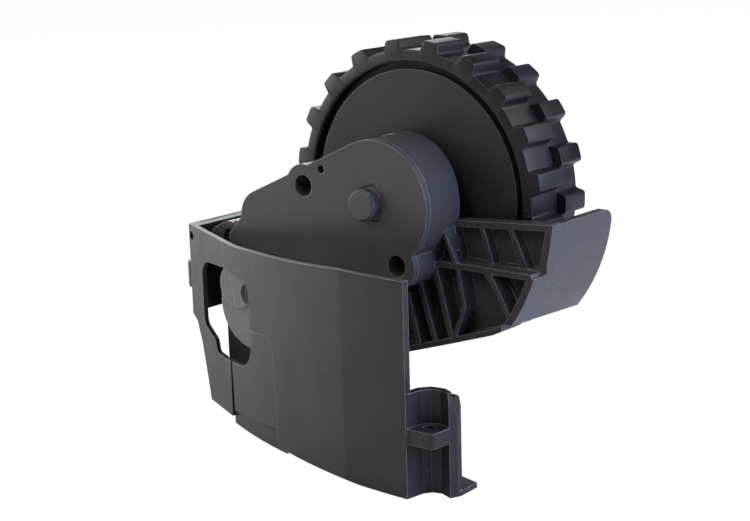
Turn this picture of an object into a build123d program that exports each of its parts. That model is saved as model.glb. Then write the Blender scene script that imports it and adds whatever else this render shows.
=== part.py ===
from build123d import *
import math
import os

os.makedirs("parts", exist_ok=True)

# Drive wheel module of a robot vacuum, drawn as it lies in the picture, with
# the robot's underside up. Lengths are millimetres. The origin is the seat of
# the corner screw: +Z up, -Y toward the curved panel, +X toward the mudguard.

# The axle, seen from the corner screw.
wheel_x = -32.1
disc_y = 38.3
wheel_z = 40.2

# The plane the module stands on, under the screw seat.
base_z = -15.2

# Wheel and tyre.
tyre_radius = 35.0
tread_depth = 2.4
tyre_thickness = 3.6
tyre_lip = 0.8
tyre_width = 18.0
tyre_overhang = 0.8
hub_disc_setback = 0.9
hub_disc_thickness = 1.8
hub_groove_depth = 2.5
lugs_per_row = 20
lug_base_half_angle = 4.9
lug_shoulder_half_angle = 3.75
lug_top_half_angle = 2.4
lug_shoulder_drop = 0.7
lug_edge = 0.25
near_row_width = 9.6
row_gap = 0.3
first_lug_angle = 8.5
far_row_lag = 1.5
hub_spokes = 6

# Swing arm: its pivot hangs below and beside the axle.
arm_length = 47.3
arm_droop = 15.9
pivot_pin_radius = 2.0
pivot_hub_radius = 3.9
pivot_hub_heel = (-2.4, -1.3)

# Arm shell, as depths in front of the wheel's disc.
cover_face = 17.4
cover_thickness = 1.6
shell_wall = 1.5
case_step = 5.2
case_back = 2.0
case_back_wall = 1.4
screw_head_floor = 9.0

# Motor.
motor_x = -28.8
motor_z = -25.75
motor_radius = 10.9
motor_back = 13.0
motor_front = 22.8
motor_cap = 24.4
motor_shaft_radius = 0.75
brush_housing = (-34.0, -21.4, 5.3)
brush_rise = 0.8

# Gear train, from the motor to the axle: three steps of ten teeth each.
pinion_teeth = 10
first_wheel_teeth = 42
second_wheel_teeth = 36
output_teeth = 32
first_module = 0.5
second_module = 0.6
output_module = 0.7
tooth_addendum = 0.8
tooth_dedendum = 1.1
tooth_backlash = 0.12
pressure_angle = 20
gear_pin_radius = 1.0
axle_radius = 2.5

# Where each gear turns, as the direction from the next one toward the wheel.
second_gear_bearing = 235.0
first_gear_bearing = 191.0

# Front of each gear plane.
first_plane = 11.5
second_plane = 9.0
output_plane = 6.3
first_gear_width = 2.2
second_gear_width = 2.4
output_gear_width = 2.6

# Clearances.
running_gap = 0.04
slip_gap = 0.1
seam_gap = 0.13
can_gap = 0.15

# Housing.
panel_radius = 156.0
panel_centre_x = 1.4
panel_centre_y = 151.8
panel_wall = 1.2
panel_bead = 1.7
panel_turn = 27.0
panel_end_angle = 1.65
panel_straight = 24.9
panel_height = 46.4
end_wall_reach = 14.0
end_wall = 2.5
end_wall_back = 56.3
end_ledge = 4.1
ear_front = 36.7
ear_thickness = 3.0
screw_hole_radius = 1.5
shelf_thickness = 3.3
base_hole_radius = 1.6
base_hole_spacing = 30.0


def arm_plane(depth, x=0.0, z=0.0):
    """Upright plane facing the panel, in front of the wheel's disc, its origin on the axle."""
    return Plane(
        origin=(wheel_x + x, disc_y - depth, wheel_z + z),
        x_dir=(1, 0, 0),
        z_dir=(0, -1, 0),
    )


def front_plane(y):
    """Upright plane facing the panel, its origin on the ground under the corner screw."""
    return Plane(origin=(0, y, base_z), x_dir=(1, 0, 0), z_dir=(0, -1, 0))


def floor_plane(height):
    """Level plane this far above the ground."""
    return Plane.XY.offset(base_z + height)


def polar(radius, angle, centre=(0.0, 0.0)):
    """Point at a distance and angle from a centre."""
    turn = math.radians(angle)
    return (centre[0] + radius * math.cos(turn), centre[1] + radius * math.sin(turn))


def outline(*points, mode=Mode.ADD):
    """Adds or takes away a closed straight-sided face."""
    with BuildLine() as border:
        Polyline(*points, close=True)
    make_face(border.edges(), mode=mode)


def soft_outline(points, radii, mode=Mode.ADD):
    """Adds or takes away a closed face whose corners are rounded one by one."""
    with BuildLine() as border:
        FilletPolyline(*points, radius=radii, close=True)
    make_face(border.edges(), mode=mode)


def rib(*points, width=1.2):
    """Adds a strip of even width along a bent line."""
    with BuildLine() as path:
        Polyline(*points)
    trace(path.edges(), line_width=width)


def disc(x, y, radius, mode=Mode.ADD):
    """Adds or takes away a round face."""
    with Locations((x, y)):
        Circle(radius, mode=mode)


def taut(*discs):
    """Adds the taut outline round discs given as centre x, centre y, radius."""
    edges = []
    for x, y, radius in discs:
        with Locations((x, y)):
            edges += Circle(radius).edges()
    make_hull(edges)


def panel_y(x, inset=0.0):
    """How far back the curved panel's outside, or a line inside it, stands at x."""
    reach = panel_radius - inset
    return panel_centre_y - math.sqrt(reach**2 - (x - panel_centre_x) ** 2)


def involute(angle):
    return math.tan(angle) - angle


def gear_outline(centre, teeth, module, phase, flank_steps):
    """Adds a spur gear's outline with one tooth pointing along the phase angle."""
    pitch = module * teeth / 2
    tip = pitch + tooth_addendum * module
    root = pitch - tooth_dedendum * module
    ground = pitch * math.cos(math.radians(pressure_angle))
    half = 90 / teeth * (1 - tooth_backlash)
    start = max(root, ground)
    rises = [start + (tip - start) * step / flank_steps for step in range(flank_steps + 1)]
    flank = []
    for rise in rises:
        lean = involute(math.radians(pressure_angle)) - involute(math.acos(ground / rise))
        flank.append((rise, half + math.degrees(lean)))
    if root < ground:
        flank.insert(0, (root, flank[0][1]))
    points = []
    for tooth in range(teeth):
        middle = phase + tooth * 360 / teeth
        points += [polar(rise, middle - lean, centre) for rise, lean in flank]
        points += [polar(rise, middle + lean, centre) for rise, lean in reversed(flank)]
    outline(*points)


def meshing_phase(bearing, teeth, phase, next_teeth):
    """Phase of the next gear, standing at a bearing, so its gap meets this gear's tooth."""
    share = (bearing - phase) * teeth / 360
    return bearing + 180 - (0.5 - share) * 360 / next_teeth


# Places worked out from the sizes above.
pivot = polar(-arm_length, arm_droop)
tread_floor_radius = tyre_radius - tread_depth
hub_barrel_radius = tread_floor_radius - tyre_thickness
tyre_face_bore = hub_barrel_radius + tyre_lip
hub_disc_radius = hub_barrel_radius - hub_disc_setback
axle_point = (wheel_x, disc_y, wheel_z)
axle_line = Axis(axle_point, (0, 1, 0))
axle_section = Plane(origin=axle_point, x_dir=(0, 1, 0), z_dir=(1, 0, 0))
output_reach = output_module * (pinion_teeth + output_teeth) / 2
second_reach = second_module * (pinion_teeth + second_wheel_teeth) / 2
second_gear = polar(output_reach, second_gear_bearing)
first_gear = polar(second_reach, first_gear_bearing, second_gear)
motor = (motor_x, motor_z)
motor_bearing = math.degrees(
    math.atan2(motor_z - first_gear[1], motor_x - first_gear[0])
)
second_pinion_phase = meshing_phase(second_gear_bearing, output_teeth, 0, pinion_teeth)
first_pinion_phase = meshing_phase(
    first_gear_bearing, second_wheel_teeth, 0, pinion_teeth
)
motor_pinion_phase = meshing_phase(motor_bearing, first_wheel_teeth, 0, pinion_teeth)

cover_back = cover_face - cover_thickness
can_cup = motor_radius + can_gap
cup_outer = can_cup + 1.25
cup_floor_front = motor_back
cup_floor_back = motor_back - 1.2

# Screw places of the arm shell: shoulder, chin and the hidden one underneath.
shell_screws = [(-18.8, 2.4), (7.8, -13.3), (-11.2, -28.4)]
screw_well_radius = 2.5
screw_post_radius = 3.4
shell_ear_radius = 5.0

# Measured outline of the arm shell.
nose = (1.7, -0.3, 14.7)
back_nose = (0.0, 0.3, 13.9)
shoulder = (-31.9, -6.6, 6.7)
flare = (-41.3, -11.9, 1.5)
flare_root = (-37.9, -7.9, 1.2)


def shell_outline(inset=0.0, front=nose):
    """Adds the arm shell's outline round its nose, drawn in by the inset."""
    motor_lobe = (motor_x, motor_z, cup_outer - inset)
    idler_lobe = (second_gear[0], second_gear[1], 13.4 - inset)
    drawn_nose = (front[0], front[1], front[2] - inset)
    drawn_shoulder = (shoulder[0], shoulder[1], shoulder[2] - inset)
    taut(drawn_nose, drawn_shoulder, motor_lobe, idler_lobe)


# Outlines on the curved panel, seen from the front, over the ground.
insert_outline = [
    (-56.6, 25.8),
    (-49.2, 26.6),
    (-46.6, 25.6),
    (-45.5, 5.8),
    (-66.3, 4.0),
    (-66.9, 16.4),
]
insert_radii = [0, 1.5, 2.0, 0.3, 0.3, 0]
opening_outline = [
    (-84.0, 36.7),
    (-56.3, 39.0),
    (-56.0, 16.6),
    (-69.8, 15.7),
    (-75.9, 15.6),
    (-77.0, 18.5),
    (-83.6, 20.9),
]
opening_radii = [4.5, 5.0, 6.5, 3.0, 1.2, 1.0, 2.2]
rail_front = panel_wall - 0.1
rail_back = rail_front + 1.7
rail_height = 12.0
snap_posts = [(-52.0, 9.0), (-61.5, 8.0)]
snap_post_side = 2.4

end_wall_top = 44.2
ear_back = ear_front + ear_thickness
spring_boss_radius = 4.9
spring_boss_back = 47.0
pivot_x = wheel_x + pivot[0]
end_wall_x = pivot_x - end_wall_reach
base_hole = (end_wall_x + 7.5, end_wall_back - 5.3)
pivot_height = wheel_z + pivot[1] - base_z

# Wheel-down switch on the ear's plate, placed from the pivot.
switch_right = pivot_x - 5.3
switch_width = 4.4
switch_foot = pivot_height - 23.0
switch_length = 12.0
switch_depth = 5.0
switch_screw_heights = [switch_foot + 3.0, switch_foot + 9.0]
switch_screw_radius = 0.8
lever_hinge = (switch_right + 0.75, switch_foot + 1.1)
lever_pin_radius = 0.3
lever_reach = 14.0
lever_tilt = 9.5
lever_width = 3.0

with BuildSketch() as insert_seam:
    soft_outline(insert_outline, insert_radii)
    offset(amount=seam_gap)

# Housing frame: one moulding with the curved panel, end wall, pivot ear,
# corner tower and the floor plate that is screwed down inside the robot.
with BuildPart() as housing_frame:
    # Curved panel with its straight left end.
    with BuildSketch(floor_plane(0)):
        with BuildLine():
            bow = CenterArc(
                (panel_centre_x, panel_centre_y),
                panel_radius - panel_wall / 2,
                270 - panel_turn,
                panel_turn - panel_end_angle,
            )
            Line(bow @ 0, (bow @ 0) - (bow % 0) * panel_straight)
        trace(line_width=panel_wall)
    extrude(amount=panel_height)
    # Bead that stiffens the panel's free right end.
    with BuildSketch(floor_plane(0)):
        with BuildLine():
            CenterArc(
                (panel_centre_x, panel_centre_y),
                panel_radius - panel_bead / 2,
                270 - panel_end_angle - 0.6,
                0.6,
            )
        trace(line_width=panel_bead)
    extrude(amount=panel_height)
    with BuildSketch(front_plane(60)):
        outline(
            (0, -1),
            (0, panel_height),
            (-22, panel_height),
            (-32, 45.8),
            (-48, 45.1),
            (-56, 44.7),
            (-64, 44.2),
            (-94, 44.2),
            (-94, 22.6),
            (-88.7, 20.3),
            (-86, 15.5),
            (-83.6, 8.6),
            (-81.6, 2.2),
            (-67.9, 2.2),
            (-56, 1.8),
            (-44, 1.4),
            (-38, 1.0),
            (-30, 0.6),
            (-17, 0),
            (-17, -1),
        )
        outline(
            (-67.9, 0),
            (-67.9, 16.4),
            (-66.0, 17.0),
            (-66.0, 4.6),
            (-45.4, 6.2),
            (-45.4, 0),
            mode=Mode.SUBTRACT,
        )
        soft_outline(opening_outline, opening_radii, mode=Mode.SUBTRACT)
        add(insert_seam.sketch, mode=Mode.SUBTRACT)
    extrude(amount=80, mode=Mode.INTERSECT)
    # The wall is thinned where the motor swings past it.
    with BuildSketch(front_plane(disc_y)):
        taut(
            (wheel_x + motor_x, wheel_z + motor_z - base_z, motor_radius + 0.6),
            (wheel_x + motor_x - 4.1, wheel_z + motor_z - base_z - 4.6, motor_radius + 0.6),
        )
    extrude(amount=motor_cap + 0.3, mode=Mode.SUBTRACT)
    with BuildSketch(front_plane(disc_y)):
        disc(wheel_x + brush_housing[0], wheel_z + brush_housing[1] - base_z, brush_housing[2] + 0.4)
    extrude(amount=motor_cap + brush_rise + 0.2, mode=Mode.SUBTRACT)

    # Rail behind the snap-in panel, with the holes its two posts go through.
    with BuildSketch(floor_plane(0)):
        with BuildLine():
            rail = CenterArc(
                (panel_centre_x, panel_centre_y),
                panel_radius - (rail_front + rail_back) / 2,
                243.1,
                10.1,
            )
        trace(line_width=rail_back - rail_front)
    extrude(amount=rail_height)
    with BuildSketch(front_plane(30)):
        with Locations(*snap_posts):
            Rectangle(snap_post_side + 2 * slip_gap, snap_post_side + 2 * slip_gap)
    extrude(amount=30, mode=Mode.SUBTRACT)

    # End wall, from the panel's left corner straight back, and the column under it.
    with BuildSketch(floor_plane(22.5)):
        outline(
            (end_wall_x, 24.6),
            (end_wall_x, end_wall_back),
            (end_wall_x + end_wall, end_wall_back),
            (end_wall_x + end_wall, 24.0),
            (end_wall_x + 3.2, 23.0),
            (end_wall_x + 1.0, 23.9),
        )
    extrude(amount=end_wall_top - 22.5)
    # Ledge along the top of the end wall.
    with BuildSketch(floor_plane(end_wall_top - 2.2)):
        outline(
            (end_wall_x, 24.6),
            (end_wall_x, end_wall_back),
            (end_wall_x + end_ledge, end_wall_back),
            (end_wall_x + end_ledge, 22.4),
        )
    extrude(amount=2.2)
    with BuildSketch(floor_plane(0)):
        outline(
            (end_wall_x, 45.5),
            (end_wall_x, end_wall_back),
            (end_wall_x + 5.2, end_wall_back),
            (end_wall_x + 5.2, end_wall_back - end_wall),
            (end_wall_x + end_wall, end_wall_back - end_wall),
            (end_wall_x + end_wall, 45.5),
        )
    extrude(amount=end_wall_top)
    # Groove along the top of the end wall.
    with BuildSketch(floor_plane(end_wall_top - 0.8)):
        outline(
            (end_wall_x + 0.85, 27),
            (end_wall_x + 0.85, end_wall_back + 1),
            (end_wall_x + 1.4, end_wall_back + 1),
            (end_wall_x + 1.4, 27),
        )
    extrude(amount=2, mode=Mode.SUBTRACT)
    # Clip that hooks on the robot's shell at the outer corner.
    with BuildSketch(floor_plane(28)):
        outline(
            (end_wall_x + 0.6, 24.4),
            (end_wall_x - 0.8, 24.4),
            (end_wall_x - 2.3, 25.4),
            (end_wall_x - 2.3, 31.5),
            (end_wall_x + 0.6, 31.5),
        )
    extrude(amount=6.4)
    # Locating hole by the corner.
    with BuildSketch(front_plane(40)):
        disc(end_wall_x + 1.6, 41.4, 1.15)
    extrude(amount=30, mode=Mode.SUBTRACT)

    # Pivot ear, with the plate that carries the switch and the stop finger.
    with BuildSketch(front_plane(ear_back)):
        taut((pivot_x, pivot_height, 5.0), (pivot_x, pivot_height - 0.1, 5.0))
        outline(
            (end_wall_x + 1, 42.6),
            (pivot_x - 4.4, 43.4),
            (pivot_x, 44.0),
            (pivot_x + 4.2, 39.6),
            (pivot_x + 4.6, 30.6),
            (pivot_x + 3.0, 30.6),
            (pivot_x + 2.6, 36.9),
            (pivot_x - 3.4, 37.2),
            (pivot_x - 3.6, 14.6),
            (end_wall_x + 5.0, 15.8),
            (end_wall_x + 3.6, 13.4),
            (end_wall_x + 2.4, 13.4),
            (end_wall_x + 1, 22.5),
        )
    extrude(amount=ear_thickness)
    # Pilot holes for the switch's screws.
    with BuildSketch(front_plane(ear_front + 2.2)):
        for height in switch_screw_heights:
            disc(switch_right - switch_width / 2, height, switch_screw_radius)
    extrude(amount=5, mode=Mode.SUBTRACT)
    # Boss behind the ear for the spring, and the peg the spring's leg bears on.
    with BuildSketch(front_plane(spring_boss_back)):
        disc(pivot_x, pivot_height, spring_boss_radius)
    extrude(amount=spring_boss_back - ear_back)
    with BuildSketch(front_plane(spring_boss_back - 1)):
        outline(
            (pivot_x - 10.4, pivot_height + 0.45),
            (pivot_x - 7.6, pivot_height + 0.45),
            (pivot_x - 7.6, pivot_height - 2),
            (end_wall_x + 2.0, pivot_height - 2),
            (end_wall_x + 2.0, pivot_height + 1.6),
            (pivot_x - 10.4, pivot_height + 1.6),
        )
    extrude(amount=spring_boss_back - 1 - ear_back)
    with BuildSketch(front_plane(60)):
        disc(pivot_x, pivot_height, pivot_pin_radius)
    extrude(amount=30, mode=Mode.SUBTRACT)

    # Floor plate, mostly hidden behind the panel.
    with BuildSketch(floor_plane(0)):
        outline(
            (-5, -2.8),
            (-17, -1.6),
            (-31.7, 2.0),
            (-40.8, 5.6),
            (-48, 7.6),
            (-60, 11.4),
            (-66.5, 14.4),
            (-78.1, 23.4),
            (-88.1, 39.0),
            (end_wall_x, 46.0),
            (end_wall_x, end_wall_back),
            (-51.2, end_wall_back),
            (-16.2, 10.9),
            (-4.1, 10.5),
            (-2.6, 3.6),
        )
    extrude(amount=1.6)
    # Stiffening walls on the floor plate, low enough for the arm to swing over.
    with BuildSketch(floor_plane(0)):
        rib(
            (end_wall_x + 0.8, end_wall_back - 0.7),
            (-51.6, end_wall_back - 0.7),
            (-16.6, 10.2),
            (-4.8, 9.8),
            width=1.4,
        )
        rib((-78.6, 24.2), (-62, 30), (-32.4, 30))
        rib((-66, 15.2), (-66, end_wall_back - 0.9))
        rib((-44, 7.6), (-44, 44.8))
        rib((-22, 0.6), (-22, 16.6))
    extrude(amount=4.6)
    # Two bosses for the screws that hold the module down inside the robot.
    with BuildSketch(floor_plane(0)):
        disc(*base_hole, 3.6)
        disc(base_hole[0] + base_hole_spacing, base_hole[1], 3.6)
    extrude(amount=4.6)
    with BuildSketch(floor_plane(-1)):
        disc(*base_hole, base_hole_radius)
        disc(base_hole[0] + base_hole_spacing, base_hole[1], base_hole_radius)
    extrude(amount=8, mode=Mode.SUBTRACT)

    # Corner tower: faceted wall round the screw, its shelf, cheek and foot.
    with BuildSketch(floor_plane(0)):
        outline(
            (-3.1, -3.9),
            (-2.5, 0.5),
            (-1.4, 2.1),
            (0.7, 2.7),
            (3.85, 1.4),
            (4.25, 2.5),
            (1.0, 4.2),
            (-2.3, 3.7),
            (-4.2, 1.4),
            (-4.7, -3.3),
        )
    extrude(amount=22.6)
    with BuildSketch(floor_plane(0)):
        outline((3.9, 1.5), (4.7, 3.3), (4.3, 5.0), (-2.4, 5.6), (-1.8, 3.4), (1.0, 4.0))
    extrude(amount=21.4)
    # The cheek's top falls away in an arc toward the foot.
    with BuildSketch(front_plane(9)):
        with BuildLine() as arch:
            ThreePointArc((3.6, 22), (4.45, 18.6), (4.85, 14))
            Polyline((4.85, 14), (8, 14), (8, 24), (3.6, 24), (3.6, 22))
        make_face(arch.edges())
    extrude(amount=9, mode=Mode.SUBTRACT)
    with BuildSketch(floor_plane(-base_z - shelf_thickness)):
        soft_outline(
            [
                (-3.1, -3.75),
                (3.5, -3.95),
                (3.9, 1.7),
                (0.7, 3.2),
                (-2.0, 2.8),
                (-3.6, 0.5),
            ],
            [0, 1.1, 0, 0, 0, 0],
        )
    extrude(amount=shelf_thickness)
    with BuildSketch(floor_plane(0)):
        outline((4.9, 3.6), (4.6, 9.9), (-1.5, 11.7), (-8, 8), (-5, 2.6), (1.0, 3.6))
    extrude(amount=1.1)
    with BuildSketch(Plane.XY.offset(5)):
        disc(0, 0, screw_hole_radius)
    extrude(amount=-12, mode=Mode.SUBTRACT)

housing_frame.part.label = "housing_frame"
export_step(housing_frame.part, "parts/housing_frame.step")

# Snap-in panel: closes the window in front of the gears and seats on the rail.
with BuildPart() as panel_insert:
    with BuildSketch(floor_plane(0)):
        with BuildLine():
            CenterArc(
                (panel_centre_x, panel_centre_y),
                panel_radius - (rail_front - slip_gap) / 2,
                243.8,
                10.2,
            )
        trace(line_width=rail_front - slip_gap)
    extrude(amount=30)
    with BuildSketch(front_plane(40)):
        soft_outline(insert_outline, insert_radii)
        soft_outline(opening_outline, opening_radii, mode=Mode.SUBTRACT)
    extrude(amount=50, mode=Mode.INTERSECT)
    # Two posts that push through the rail, each with a catch behind it.
    with BuildSketch(front_plane(panel_y(snap_posts[0][0], rail_back) + 2.4)):
        with Locations(snap_posts[0]):
            Rectangle(snap_post_side, snap_post_side)
    extrude(until=Until.NEXT)
    with BuildSketch(front_plane(panel_y(snap_posts[1][0], rail_back) + 2.4)):
        with Locations(snap_posts[1]):
            Rectangle(snap_post_side, snap_post_side)
    extrude(until=Until.NEXT)

panel_insert.part.label = "panel_insert"
export_step(panel_insert.part, "parts/panel_insert.step")

# Pivot pin: steel, pressed into the ear and its boss; the arm turns on it.
with BuildPart() as pivot_pin:
    with BuildSketch(arm_plane(13.0, *pivot)):
        Circle(pivot_pin_radius)
    extrude(amount=-(spring_boss_back - disc_y + 13.0 + 0.6))
    chamfer(pivot_pin.edges().group_by(Axis.Y)[0], 0.4)
    with BuildSketch(arm_plane(disc_y - spring_boss_back, *pivot)):
        Circle(3.6)
    extrude(amount=-1.2)

pivot_pin.part.label = "pivot_pin"
export_step(pivot_pin.part, "parts/pivot_pin.step")

# Torsion spring on the ear's boss: drives the wheel out of the robot.
spring_wire = 1.0
spring_radius = spring_boss_radius + 0.35 + spring_wire / 2
spring_turns = 4.75
spring_pitch = 1.12
spring_front = -2.1
with BuildPart() as arm_spring:
    with BuildLine():
        coil = Helix(
            pitch=spring_pitch,
            height=spring_pitch * spring_turns,
            radius=spring_radius,
            center=(pivot_x, disc_y - spring_front, wheel_z + pivot[1]),
            direction=(0, 1, 0),
        )
    with BuildSketch(Plane(origin=coil @ 0, z_dir=coil % 0)):
        Circle(spring_wire / 2)
    sweep()

arm_spring.part.label = "arm_spring"
export_step(arm_spring.part, "parts/arm_spring.step")

# Wheel-down switch: a small body screwed to the ear's plate.
with BuildPart() as switch_body:
    with BuildSketch(front_plane(ear_front)):
        outline(
            (switch_right, switch_foot),
            (switch_right, switch_foot + switch_length),
            (switch_right - switch_width, switch_foot + switch_length),
            (switch_right - switch_width, switch_foot),
        )
    extrude(amount=switch_depth)
    chamfer(switch_body.edges().filter_by(Axis.Y), 0.4)
    # Two cheeks that carry the lever's hinge pin.
    with BuildSketch(front_plane(ear_front)):
        outline(
            (switch_right - 0.5, switch_foot + 0.4),
            (switch_right + 1.5, switch_foot + 0.4),
            (switch_right + 1.5, switch_foot + 1.8),
            (switch_right - 0.5, switch_foot + 2.6),
        )
    extrude(amount=0.9)
    with BuildSketch(front_plane(ear_front - switch_depth + 0.9)):
        outline(
            (switch_right - 0.5, switch_foot + 0.4),
            (switch_right + 1.5, switch_foot + 0.4),
            (switch_right + 1.5, switch_foot + 1.8),
            (switch_right - 0.5, switch_foot + 2.6),
        )
    extrude(amount=0.9)
    with BuildSketch(front_plane(ear_front)):
        disc(*lever_hinge, lever_pin_radius)
    extrude(amount=switch_depth)
    # Plunger button and three solder tags.
    with BuildSketch(front_plane(ear_front - 2.0)):
        with Locations((switch_right + 0.05, switch_foot + 6.5)):
            Rectangle(0.3, 1.6)
    extrude(amount=1.0)
    with BuildSketch(front_plane(ear_front - 2.2)):
        with Locations(*[(switch_right - switch_width - 0.6, switch_foot + 2.4 + 3.6 * tag) for tag in range(3)]):
            Rectangle(1.6, 1.0)
    extrude(amount=0.5)
    with BuildSketch(front_plane(ear_front)):
        for height in switch_screw_heights:
            disc(switch_right - switch_width / 2, height, switch_screw_radius)
    extrude(amount=switch_depth, mode=Mode.SUBTRACT)

switch_body.part.label = "switch_body"
export_step(switch_body.part, "parts/switch_body.step")

# Switch lever: a bent steel strip rolled round the hinge pin.
with BuildPart() as switch_lever:
    with BuildSketch(front_plane(ear_front - (switch_depth - lever_width) / 2)):
        disc(*lever_hinge, 0.62)
        with Locations(Location((lever_hinge[0], lever_hinge[1], 0), (0, 0, -lever_tilt))):
            with Locations((0.42, lever_reach / 2)):
                Rectangle(0.4, lever_reach)
        disc(*lever_hinge, lever_pin_radius + running_gap, mode=Mode.SUBTRACT)
    extrude(amount=lever_width)

switch_lever.part.label = "switch_lever"
export_step(switch_lever.part, "parts/switch_lever.step")

# Two screws hold the switch to the ear's plate.
with BuildPart() as switch_screws:
    with BuildSketch(front_plane(ear_front + 2.2)):
        for height in switch_screw_heights:
            disc(switch_right - switch_width / 2, height, switch_screw_radius)
    extrude(amount=switch_depth + 2.2)
    with BuildSketch(front_plane(ear_front - switch_depth)):
        for height in switch_screw_heights:
            disc(switch_right - switch_width / 2, height, 1.5)
    extrude(amount=0.9)
    with BuildSketch(front_plane(ear_front - switch_depth - 0.9)):
        for height in switch_screw_heights:
            with Locations((switch_right - switch_width / 2, height)):
                Rectangle(2.0, 0.4)
                Rectangle(0.4, 2.0)
    extrude(amount=-0.5, mode=Mode.SUBTRACT)

switch_screws.part.label = "switch_screws"
export_step(switch_screws.part, "parts/switch_screws.step")

# Gearbox cover: outer half of the arm's shell, with the cup the motor sits in.
bush_flange = 3.85
bush_key = [(2.2, 4.3), (3.1, -3.2)]
bush_key_round = 0.45
pin_boss_radius = 2.5


def bush_outline(gap=0.0):
    """Adds the bush's flange with its two keys, or the pocket round them."""
    taut((0, 0, bush_flange + gap), *[(x, z, bush_key_round + gap) for x, z in bush_key])


with BuildPart() as gearbox_cover:
    with BuildSketch(arm_plane(cover_back)):
        shell_outline()
        taut(flare, flare_root, (motor_x, motor_z, cup_outer))
        for x, z in shell_screws:
            disc(x, z, shell_ear_radius)
    extrude(amount=cover_thickness)
    # Cup round the motor, its floor, and the tongue that hangs from it.
    with BuildSketch(arm_plane(cup_floor_back)):
        disc(*motor, cup_outer)
    extrude(amount=cover_face - cup_floor_back)
    with BuildSketch(arm_plane(12.6)):
        outline(
            (-47.8, -45.5),
            (-47.8, -34.6),
            (-48.9, -31.8),
            (-47.6, -27.4),
            (-45.0, -25.6),
            (-36, -25.6),
            (-30, -35.4),
            (-32, -45.5),
        )
    extrude(amount=1.6)
    # Tubes the screw heads sit in, and sockets for the gear pins and the bush.
    with BuildSketch(arm_plane(screw_head_floor)):
        for x, z in shell_screws:
            disc(x, z, screw_post_radius)
    extrude(amount=cover_back - screw_head_floor)
    with BuildSketch(arm_plane(11.7)):
        disc(*first_gear, pin_boss_radius)
        disc(*second_gear, pin_boss_radius)
    extrude(amount=cover_back - 11.7)
    with BuildSketch(arm_plane(14.2)):
        disc(0, 0, 5.6)
    extrude(amount=cover_back - 14.2)
    with BuildSketch(arm_plane(cup_floor_front)):
        disc(*motor, can_cup)
    extrude(amount=10, mode=Mode.SUBTRACT)
    # Motor nose, motor screws and gear pins through or into the cup's floor.
    with BuildSketch(arm_plane(cup_floor_back)):
        disc(*motor, 3.1)
        for side in (90, -90):
            disc(*polar(5.0, motor_bearing + side, motor), 1.05)
    extrude(amount=1.2, mode=Mode.SUBTRACT)
    with BuildSketch(arm_plane(cup_floor_back - 1)):
        disc(*first_gear, gear_pin_radius)
        disc(*second_gear, gear_pin_radius)
    extrude(amount=1.8, mode=Mode.SUBTRACT)
    # Screw wells and the small locating hole.
    with BuildSketch(arm_plane(screw_head_floor + 1.2)):
        for x, z in shell_screws:
            disc(x, z, screw_well_radius)
    extrude(amount=12, mode=Mode.SUBTRACT)
    with BuildSketch(arm_plane(screw_head_floor)):
        for x, z in shell_screws:
            disc(x, z, 1.25)
    extrude(amount=2, mode=Mode.SUBTRACT)
    with BuildSketch(arm_plane(cover_back - 1)):
        disc(-13.3, 6.6, 1.0)
    extrude(amount=5, mode=Mode.SUBTRACT)
    # Keyed pocket of the bush and the bore behind it.
    with BuildSketch(arm_plane(cover_back)):
        bush_outline(slip_gap)
    extrude(amount=5, mode=Mode.SUBTRACT)
    with BuildSketch(arm_plane(10)):
        disc(0, 0, 3.6)
    extrude(amount=10, mode=Mode.SUBTRACT)

gearbox_cover.part.label = "gearbox_cover"
export_step(gearbox_cover.part, "parts/gearbox_cover.step")

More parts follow.
